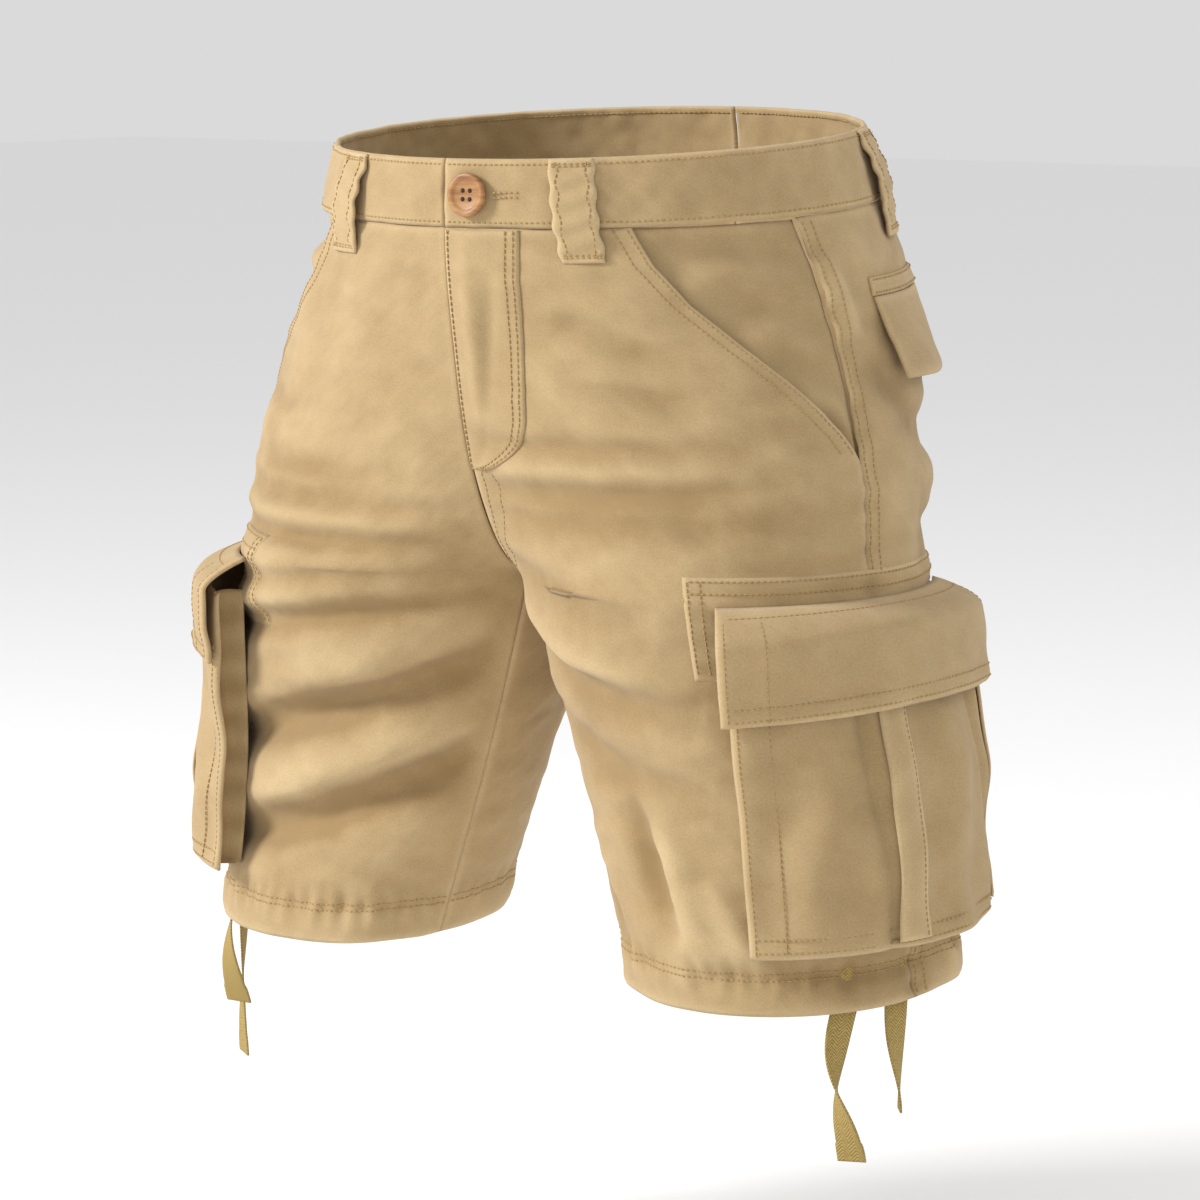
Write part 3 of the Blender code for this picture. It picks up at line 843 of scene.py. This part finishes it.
@dataclass(frozen=True)
class CargoPocket:
    """The stitched side patch and the bellows pocket with its flap and pleat strips."""
    side: int
    tag: str
    half: float = 0.0925
    top: float = 0.272
    bottom: float = 0.440
    proud: float = 0.0195
    gusset_in: float = 0.0035
    patch_half: float = 0.112
    patch_drops: tuple[float, float] = (0.236, 0.292)
    patch_rows: tuple[float, float] = (0.0025, 0.0095)
    flap_half: float = 0.0955
    flap_drops: tuple[float, float] = (0.252, 0.311)
    flap_turn: float = 0.018
    pleat_starts: tuple[float, float] = (-0.021, 0.063)
    pleat_wide: float = 0.016
    pleat_seam: float = 0.0135

    def stand(self, u: Array, v: Array) -> Array:
        """How far the pocket's face stands off the leg, with its sag and dents."""
        crown = 0.004 * np.sin(pi * u) * (0.4 + 0.6 * v)
        dents = 0.0019 * np.sin(u * 31 + v * 3) * np.sin(pi * v)
        sag = 0.0026 * np.sin(v * 9 + u * 5) * np.sin(pi * u) + dents
        sag += 0.0020 * ripple(u * 0.185, v * 0.168 * 0.6, 0.022, 23.0)
        for fold in (0.33, 0.77):
            sag -= 0.0042 * np.exp(-((u - fold - 0.03 * v) / 0.022)**2)
        return self.proud + crown + sag

    def flap(self, u: Array, v: Array) -> Array:
        """How far the flap stands off: out over the pocket's top edge, then down its face, with dents."""
        rise = np.minimum(1, v * 0.059 / self.flap_turn)
        dents = 0.0014 * np.sin(u * 14 + v * 3) * v + 0.0022 * ripple(u * 0.19, v * 0.059, 0.020, 31.0) * v
        return 0.0034 + 0.0253 * np.sin(rise * pi / 2) + 0.0012 * np.sin(pi * u) + dents

    def gusset_sizes(self) -> tuple[float, float, float]:
        """The gusset's distance from the pocket's middle, its height and its whole length."""
        inset, height = self.half - self.gusset_in, self.bottom - self.gusset_in - self.top
        return inset, height, 2 * height + 2 * inset

    def gusset(self, u: Array, v: Array) -> Placed:
        """Places on the wall that runs down, along and up again between the leg and the pocket's face.

        Args:
            u: the share of the way round.
            v: 0 on the leg to 1 at the face.

        Returns:
            Points, outward directions, UV in metres and a colour value set darker than the panels' as painted
            shade.
        """
        inset, height, length = self.gusset_sizes()
        run, foot_end = u * length, height + 2 * inset
        across = np.where(run < height, -inset, np.where(run < foot_end, run - height - inset, inset))
        up = np.where(run < foot_end, self.top + height, self.top + length - run)
        drop = np.where(run < height, self.top + run, up)
        pinch = 0.0055 * np.sin(pi * v) * np.where((run < height) | (run > foot_end), 1, 0.5)
        across = across - np.sign(across) * pinch * (np.abs(across) >= inset - 1e-9)
        drop = drop - pinch * (np.abs(across) < inset - 0.006) * 0.6
        share, down = (across + self.half) / (2 * self.half), (drop - self.top) / (self.bottom - self.top)
        low, high = 0.0016, self.stand(share, down) - 0.0012
        points, _, _ = surface(self.side, drop, turn_at(drop, across), low + (high - low) * v, 0.0)
        middle, _, _ = surface(self.side, np.full_like(drop, 0.35), np.full_like(drop, SIDE_SEAM), 0.01, 0.0)
        # the gusset's colour value sits at 0.20 against the panels' 0.30, painted shade in the gap between
        # leg and pocket face, with a faint ripple every 21 mm along it
        return points, points - middle, np.stack([run, v * 0.02], -1), 0.20 + 0.08 * np.sin(run * 300)

    def build(self, shorts: Shorts) -> None:
        """Build and sew the pocket, from the leg outwards."""
        side, tag = self.side, self.tag
        self.build_patch(shorts)
        shorts.panel(f"pocket_face_{tag}", side, beside_seam(-self.half), beside_seam(self.half),
                     (self.top, self.bottom), (110, 90), self.stand, wall=0.0014, creased=0.0, roll=0.0022,
                     stands_for=(f"cargo_face_{tag}",), extra=-0.03)
        self.build_gusset(shorts)
        shorts.panel(f"pocket_flap_{tag}", side, beside_seam(-self.flap_half), beside_seam(self.flap_half),
                     self.flap_drops, (120, 50), self.flap, wall=0.0020, creased=0.0, roll=0.0018,
                     stands_for=(f"cargo_flap_{tag}",))
        self.sew(shorts)
        for number, start in enumerate(self.pleat_starts, 1):
            self.build_pleat(shorts, number, start)

    def build_patch(self, shorts: Shorts) -> None:
        """The flat patch behind the pocket, with two rows of stitching along its top and its sides."""
        side, half, (top, bottom), (near, far) = self.side, self.patch_half, self.patch_drops, self.patch_rows
        shorts.panel(f"patch_{self.tag}", side, beside_seam(-half), beside_seam(half), (top, bottom),
                     (90, 26), even(0.0007), wall=0.0009, stands_for=(f"side_patch_{self.tag}",))
        across = np.linspace(0.003 - half, half - 0.003, 120)
        for inset in (near, far):
            level = np.full_like(across, top + inset)
            shorts.stitch("patch", side, level, turn_at(level, across), 0.0008)
        down = np.linspace(top + near, bottom - near, 40)
        for edge in (near - half, far - half, half - far, half - near):
            shorts.stitch("patch", side, down, turn_at(down, np.full_like(down, edge)), 0.0008)

    def build_gusset(self, shorts: Shorts) -> None:
        """The wall round the pocket's sides and foot."""
        tag, length = self.tag, self.gusset_sizes()[2]
        made = sheet(f"pocket_gusset_{tag}", self.gusset, 190, 12, shorts.twill, 0.0012)
        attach(made, "root")
        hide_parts(f"cargo_gusset_{tag}")

    def build_pleat(self, shorts: Shorts, number: int, start: float) -> None:
        """Build one pleat strip on the face and sew it near its back edge.

        Args:
            shorts: the garment.
            number: 1 for the front one.
            start: its front edge's distance behind the side seam.
        """
        side, tag, double = self.side, self.tag, 2 * self.half
        top, bottom = self.top + 0.008, self.bottom - 0.004
        first, wide = (start + self.half) / double, self.pleat_wide / double

        def strip(u: Array, v: Array) -> Array:
            """How far the strip stands off, just over the face."""
            return self.stand(first + wide * u, 0.048 + 0.93 * v) + 0.0030 - 0.0010 * u

        shorts.panel(f"pleat_{tag}_{number}", side, beside_seam(start), beside_seam(start + self.pleat_wide),
                     (top, bottom), (12, 80), strip, wall=0.0014, creased=0.0, roll=0.0012,
                     stands_for=(f"pleat_strip_{tag}_{number}",), extra=0.05)
        drop = np.linspace(self.top + 0.035, self.bottom - 0.006, 60)
        lift = strip(np.full_like(drop, 0.85), (drop - top) / (bottom - top))
        seam = beside_seam(start + self.pleat_seam)
        shorts.stitch("pocket", side, drop, seam(drop), lift, 0.0)

    def sew_on(self, shorts: Shorts, lift: Lift, half: float, drops: tuple[float, float], share: Array,
               drop: Array) -> None:
        """Sew one row on a piece that stands off the leg.

        Args:
            shorts: the garment.
            lift: how far the piece stands off.
            half: half its width.
            drops: its top and bottom.
            share: the row's places across it, from 0 to 1.
            drop: the row's drops.
        """
        out = lift(share, (drop - drops[0]) / (drops[1] - drops[0]))
        shorts.stitch("pocket", self.side, drop, turn_at(drop, -half + share * 2 * half), out, 0.0)

    def sew(self, shorts: Shorts) -> None:
        """Stitch the flap along and down, then the face down and along its foot."""
        flap = (self.flap, self.flap_half, self.flap_drops)
        face = (self.stand, self.half, (self.top, self.bottom))
        along, down = np.linspace(0.03, 0.97, 120), np.linspace(0.258, 0.309, 40)
        for level in (0.2565, 0.3015, 0.3080):
            self.sew_on(shorts, *flap, along, np.full_like(along, level))
        for edge in (0.02, 0.115, 0.98):
            self.sew_on(shorts, *flap, np.full_like(down, edge), down)
        along, down = np.linspace(0.02, 0.98, 120), np.linspace(self.top + 0.03, self.bottom - 0.003, 60)
        for edge in (0.02, 0.10, 0.98):
            self.sew_on(shorts, *face, np.full_like(down, edge), down)
        for level in (self.bottom - 0.0035, self.bottom - 0.0105):
            self.sew_on(shorts, *face, along, np.full_like(along, level))


@dataclass(frozen=True)
class HipPocket:
    """The back pocket's welt and flap."""
    side: int
    tag: str
    start: float = 0.035
    end: float = 0.165
    welt_drops: tuple[float, float] = (0.078, 0.0882)
    flap_drops: tuple[float, float] = (0.0885, 0.135)

    def hang(self, u: Array, v: Array) -> Array:
        """How far the flap stands off, more towards its free edge."""
        return 0.0022 + 0.0110 * v**1.4 + 0.0010 * np.sin(u * 11) * v

    def build(self, shorts: Shorts) -> None:
        """Build the welt and the flap, and sew the welt."""
        side, tag = self.side, self.tag
        edges = beside_seam(self.start), beside_seam(self.end)
        shorts.panel(f"welt_{tag}", side, *edges, self.welt_drops, (60, 8), even(0.0016), wall=0.0012,
                     stands_for=(f"back_welt_{tag}",))
        shorts.panel(f"hip_flap_{tag}", side, *edges, self.flap_drops, (70, 30), self.hang, wall=0.0018,
                     creased=0.4, stands_for=(f"back_flap_{tag}",))
        across = np.linspace(self.start + 0.002, self.end - 0.002, 80)
        for inset in (0.0015, 0.0085):
            level = np.full_like(across, self.welt_drops[0] + inset)
            shorts.stitch("hip", side, level, turn_at(level, across), 0.0017)


LOOP_DEGREES = {"front": 28, "side": 110, "back": 148}
PUFFED_LOOPS = ((-1, "front"), (1, "side"))


@dataclass(frozen=True)
class BeltLoop:
    """One wide, wavy belt loop, tacked at both ends."""
    side: int
    tag: str
    place: str
    half: float = 0.013
    drops: tuple[float, float] = (0.0005, 0.060)
    tacks: tuple[float, ...] = (0.0035, 0.0050, 0.0555, 0.0570)

    def middle_run(self, drop: Array) -> Array:
        """The distance of the loop's middle from the side seam."""
        return run_at(drop, np.full_like(drop, LOOP_DEGREES[self.place] / 180))

    def edge(self, offset: float) -> Edge:
        """A wavy line at one distance behind the loop's middle."""
        def at(drop: Array) -> Array:
            """The line's turn at each drop."""
            wavy = 0.0007 * np.sin(drop * 420 + offset * 900)
            return turn_at(drop, self.middle_run(drop) + offset + wavy)
        return at

    def bow(self, u: Array, v: Array) -> Array:
        """How far the loop stands off the band."""
        proud = 0.0055 if (self.side, self.place) in PUFFED_LOOPS else 0.0028
        return 0.0034 + proud * np.sin(pi * v)**1.4 - 0.0006 * v + 0.0005 * np.sin(v * 30 + u * 4)

    def build(self, shorts: Shorts) -> None:
        """Build the loop, sew both edges and tack both ends."""
        side, place, tag = self.side, self.place, self.tag
        shorts.panel(f"belt_loop_{place}_{tag}", side, self.edge(-self.half), self.edge(self.half),
                     self.drops, (22, 56), self.bow, wall=0.0019, creased=0.0, roll=0.0012,
                     stands_for=(f"loop_{place}_{tag}",), extra=0.06)
        width, length = 2 * self.half, self.drops[1] - self.drops[0]
        drop = np.linspace(0.002, 0.058, 40)
        for inset in (-0.0085, 0.0085):
            lift = self.bow(np.full_like(drop, inset / width + 0.5), drop / length)
            shorts.stitch("loops", side, drop, self.edge(inset)(drop), lift, 0.0)
        across = np.linspace(-0.0115, 0.0115, 12)
        for level in self.tacks:
            drop = np.full_like(across, level)
            lift = self.bow(across / width + 0.5, drop / length)
            shorts.stitch("loops", side, drop, turn_at(drop, self.middle_run(drop) + across), lift, 0.0)


@dataclass(frozen=True)
class Button:
    """The turned wooden button: a raised rim, a sunk middle and four holes shown as near-black discs of
    painted shade, beside its buttonhole.
    """
    radius: float = 0.0125
    thick: float = 0.0042
    drop: float = 0.021
    from_centre: float = 0.018
    lift: float = 0.0020
    hole_circle: float = 0.0034
    hole_radius: float = 0.0013
    sunk: float = 0.60
    # radius and height of each point on the turned outline, as shares of the button's
    outline: tuple[tuple[float, float], ...] = (
        (0.0, 0.0), (0.85, 0.0), (0.97, 0.2), (1.0, 0.5), (0.98, 0.82), (0.92, 0.98), (0.82, 1.0),
        (0.74, 0.93), (0.68, 0.74), (0.60, 0.64), (0.30, 0.60), (0.0, 0.60))

    def place(self) -> Matrix:
        """Where the button's underside lies, facing out of the band."""
        drop = np.array([self.drop])
        turn = turn_at(drop, centre_run(drop) + self.from_centre)
        points, normals, _ = surface(1, drop, turn, self.lift, 0.0)
        outward = Vector(normals[0]).to_track_quat("Z", "Y")
        return Matrix.Translation(Vector(points[0])) @ outward.to_matrix().to_4x4()

    def build(self, shorts: Shorts) -> None:
        """Turn the disc, sew the buttonhole and set a near-black disc of painted shade in each of the four
        holes.
        """
        place = self.place()
        disc = bmesh.new()
        verts = [disc.verts.new((r * self.radius, 0, h * self.thick)) for r, h in self.outline]
        edges = [disc.edges.new(pair) for pair in zip(verts, verts[1:])]
        bmesh.ops.spin(disc, geom=verts + edges, cent=(0, 0, 0), axis=(0, 0, 1), angle=2 * pi, steps=64,
                       use_merge=True)
        bmesh.ops.remove_doubles(disc, verts=disc.verts[:], dist=0.00001)
        bmesh.ops.recalc_face_normals(disc, faces=disc.faces[:])
        bmesh.ops.transform(disc, matrix=place, verts=disc.verts[:])
        made = solid("wooden_button", disc, shorts.wood)
        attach(made, "root")
        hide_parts("button")
        for offset in (-0.0014, 0.0014):
            run = np.linspace(0.033, 0.049, 12)
            level = np.full_like(run, self.drop + offset)
            shorts.stitch("buttonhole", 1, level, turn_at(level, centre_run(level) + run), self.lift, 0.0)
        # the holes are not cut: each is a near-black disc on the sunk middle, painted shade standing for the
        # dark inside of a hole
        holes = bmesh.new()
        for k in range(4):
            a = pi / 4 + k * pi / 2
            spot = Matrix.Translation(
                (self.hole_circle * cos(a), self.hole_circle * sin(a), self.thick * self.sunk))
            bmesh.ops.create_cone(holes, cap_ends=True, segments=16, radius1=self.hole_radius,
                                  radius2=self.hole_radius, depth=0.0004, matrix=place @ spot)
        dark = solid("button_hole_shade_discs", holes, shorts.dark)
        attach(dark, "root")


@dataclass(frozen=True)
class HemTape:
    """One hanging drawcord tape, which starts inside the hem."""
    name: str
    side: int
    from_seam: float
    length: float
    lean: float
    twist: float
    inside: float = 0.028
    wide: float = 0.015
    lift: float = -0.0075

    def route(self, fall: float) -> tuple[Vector, Vector]:
        """The tape's middle and its width's direction at a fall below its start."""
        level = np.array([HEM_DROP])
        turn = turn_at(level, np.array([self.from_seam]))
        points, normals, _ = surface(self.side, level, turn, self.lift, 0.0)
        hem, normal = Vector(points[0]), Vector(normals[0])
        along = normal.cross(Vector((0, 0, 1))).normalized()
        free = max(0.0, fall - self.inside) / self.length
        inner = form(self.side, level - self.inside, turn) - form(self.side, level, turn)
        up_wall = Vector(inner[0]).normalized()
        point = hem + up_wall * max(0.0, self.inside - fall) + Vector((0, 0, -max(0.0, fall - self.inside)))
        point += along * self.lean * sin(free * pi * 1.3) + normal * 0.004 * sin(free * pi)
        turned = radians(self.twist) * free * free * (3 - 2 * free)
        return point, along * cos(turned) + normal * sin(turned)

    def make(self, shorts: Shorts) -> None:
        whole, wide = self.inside + self.length, self.wide

        def place(u: Array, v: Array) -> Placed:
            """Places on the tape, which widens a little at its folded end."""
            points, normals = [], []
            for a, b in zip(u, v):
                point, across = self.route(b * whole)
                end = 1.0 + 0.10 * smooth(np.array(b * whole), whole - 0.011, whole - 0.010)
                points.append(point + across * (a - 0.5) * wide * float(end))
                normals.append(across.cross(Vector((0, 0, 1))))
            uv = np.stack([u * wide, v * whole], -1)
            return np.array(points), np.array(normals), uv, np.full_like(u, 0.3)

        made = sheet(f"{self.name}_twill", place, 10, 90, shorts.tape, 0.0012)
        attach(made, "root")
        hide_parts(self.name)
        path = [tuple(self.route(k / 20 * whole)[0]) for k in range(21)]
        exit_point = tuple(self.route(self.inside)[0])
        length = sum((Vector(a) - Vector(b)).length for a, b in zip(path, path[1:]))


TAPES = [HemTape("tape_left_front", 1, -0.045, 0.087, 0.006, 150),
         HemTape("tape_left_side", 1, -0.010, 0.064, 0.003, 60),
         HemTape("tape_right_front", -1, -0.032, 0.066, -0.006, 70),
         HemTape("tape_right_side", -1, -0.010, 0.104, 0.006, 40)]


@dataclass(frozen=True)
class Lamp:
    """One soft area light: where it stands, its size in metres and its power in watts."""
    name: str
    place: tuple[float, float, float]
    size: float
    power: float

    def make(self, aim: Vector) -> None:
        """Add the light, facing a point."""
        data = bpy.data.lights.new(self.name, "AREA")
        data.size = self.size
        data.energy = self.power
        made = bpy.data.objects.new(self.name, data)
        made.location = self.place
        made.rotation_euler = (aim - Vector(self.place)).to_track_quat("-Z", "Y").to_euler()
        bpy.context.scene.collection.objects.link(made)


@dataclass(frozen=True)
class Studio:
    """Camera, soft lights and a pale floor."""
    azimuth: float = radians(38.0)
    elevation: float = radians(8.5)
    roll: float = radians(-0.39)
    distance: float = 2.566
    lens: float = 130.5
    target: tuple[float, float, float] = (0.0128, -0.0176, -0.2744)
    light_aim: tuple[float, float, float] = (0, 0, -0.25)
    daylight: float = 0.70
    floor_below: float = 0.12
    lamps: tuple[Lamp, ...] = (Lamp("key", (-1.9, -2.1, 1.3), 0.8, 95),
                               Lamp("fill", (2.6, -1.6, 0.5), 2.0, 9),
                               Lamp("rim", (1.6, 2.0, 1.6), 1.6, 20))

    def build_camera(self) -> None:
        """Stand the camera back from its target, turned a little about its own axis."""
        sideways, upwards = self.azimuth, self.elevation
        forward = -Vector((sin(sideways) * cos(upwards), -cos(sideways) * cos(upwards), sin(upwards)))
        right = Vector((cos(sideways), sin(sideways), 0))
        up = right.cross(forward)
        right, up = right * cos(self.roll) + up * sin(self.roll), up * cos(self.roll) - right * sin(self.roll)
        data = bpy.data.cameras.new("camera")
        data.lens = self.lens
        data.sensor_width = 36
        camera = bpy.data.objects.new("camera", data)
        camera.matrix_world = Matrix.Translation(Vector(self.target) - forward * self.distance) @ Matrix(
            (right, up, -forward)).transposed().to_4x4()
        bpy.context.scene.collection.objects.link(camera)
        bpy.context.scene.camera = camera
        bpy.context.scene.view_settings.view_transform = "Standard"

    def build(self) -> None:
        """Set up the camera, the lights, the daylight and the floor."""
        self.build_camera()
        for lamp in self.lamps:
            lamp.make(Vector(self.light_aim))
        world = bpy.data.worlds.new("studio")
        world.use_nodes = True
        world.node_tree.nodes["Background"].inputs["Color"].default_value = (1, 1, 1, 1)
        world.node_tree.nodes["Background"].inputs["Strength"].default_value = self.daylight
        bpy.context.scene.world = world
        floor_edit = bmesh.new()
        bmesh.ops.create_grid(floor_edit, x_segments=1, y_segments=1, size=12)
        lowest = CAD_BOX[0][2]
        bmesh.ops.translate(floor_edit, verts=floor_edit.verts[:], vec=(0, 0, lowest - self.floor_below))
        paint = bpy.data.materials.new("matt_backdrop_paper")
        paint.use_nodes = True
        paint.node_tree.nodes["Principled BSDF"].inputs["Base Color"].default_value = linear("#FAFAFA")
        paint.node_tree.nodes["Principled BSDF"].inputs["Roughness"].default_value = 1.0
        solid("floor", floor_edit, paint)


def main() -> None:
    """Build the shorts and the studio in order."""
    logging.basicConfig(level=logging.INFO)
    shorts = Shorts(
        TwillFinish().make(),
        # thread a little darker and yellower than the cloth: its own tone, partly deepened as painted shade
        # for the groove the stitches sink into
        PlainFinish("cotton_thread", "#B79A66", "#94784A", 0.85, 900.0).make(),
        PlainFinish("olive_wood", "#B98A55", "#8A5A30", 0.45, 60.0, (1.0, 1.0, 7.0)).make(),
        PlainFinish("herringbone_cotton_tape", "#B39A5C", "#86703A", 0.9, 500.0, chevron_mm=1.9).make(),
        # near-black material for the button's holes: painted shade, not the wood's own colour
        PlainFinish("button_hole_painted_shade", "#3A2410", "#20140A", 0.8, 100.0).make())
    for half in Side:
        Body(half.value, half.tag).build(shorts)
        CargoPocket(half.value, half.tag).build(shorts)
        HipPocket(half.value, half.tag).build(shorts)
        for place in LOOP_DEGREES:
            BeltLoop(half.value, half.tag, place).build(shorts)
        LOG.info("%s half done", half.tag)
    Fly().build(shorts)
    Button().build(shorts)
    for tape in TAPES:
        tape.make(shorts)
    for group, rows in shorts.stitches.items():
        made = rows.make(f"stitching_{group}", shorts.thread)
        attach(made, "root")
        LOG.info("stitching %s: %d faces", group, len(made.data.polygons))
    Studio().build()


if __name__ == "__main__":
    main()
